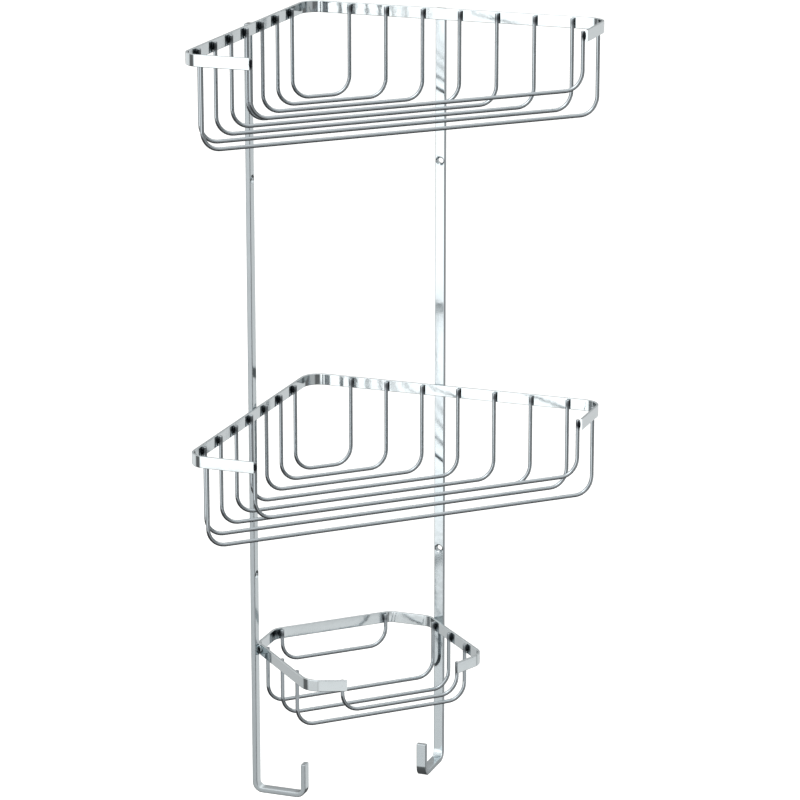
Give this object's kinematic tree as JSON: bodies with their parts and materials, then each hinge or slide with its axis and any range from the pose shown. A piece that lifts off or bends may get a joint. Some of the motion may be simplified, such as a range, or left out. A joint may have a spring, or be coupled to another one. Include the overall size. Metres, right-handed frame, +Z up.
{
  "type": "corner shower caddy",
  "caption": "Chrome corner shower caddy: two large wire baskets with dropped front guard rails and a small soap basket on two flat uprights that end in robe hooks.",
  "frame": {"origin": "on the line where the two walls of the corner meet, level with the underside of the robe hooks", "axes": "+X along the right-hand wall away from the corner, -Y along the left-hand wall away from the corner, +Z up; the walls are the planes X = 0 and Y = 0"},
  "size_m": [0.25, 0.25, 0.6145],
  "materials": {
    "bar_chrome": "bright chrome plate on drawn flat bar, smooth mirror with faint polishing lines along the bar",
    "rim_chrome": "bright chrome plate on thin flat strip, mirror bright with soft rounded edges",
    "wire_chrome": "bright chrome plate on round wire, slightly darker where the plate is thin near the welds"
  },
  "bodies": {
    "root": {"left_upright": "bar_chrome", "right_upright": "bar_chrome", "top_rim_band": "rim_chrome", "top_basket_wire_1": "wire_chrome", "top_basket_wire_2": "wire_chrome", "top_basket_wire_3": "wire_chrome", "top_basket_wire_4": "wire_chrome", "top_basket_wire_5": "wire_chrome", "top_basket_wire_6": "wire_chrome", "top_basket_wire_7": "wire_chrome", "top_basket_wire_8": "wire_chrome", "top_guard_rail": "wire_chrome", "middle_rim_band": "rim_chrome", "middle_basket_wire_1": "wire_chrome", "middle_basket_wire_2": "wire_chrome", "middle_basket_wire_3": "wire_chrome", "middle_basket_wire_4": "wire_chrome", "middle_basket_wire_5": "wire_chrome", "middle_basket_wire_6": "wire_chrome", "middle_basket_wire_7": "wire_chrome", "middle_basket_wire_8": "wire_chrome", "middle_guard_rail": "wire_chrome", "soap_rim_band": "rim_chrome", "soap_back_wire": "wire_chrome", "soap_wire_1": "wire_chrome", "soap_wire_2": "wire_chrome", "soap_wire_3": "wire_chrome", "soap_front_wire": "wire_chrome"}
  },
  "joints": []
}
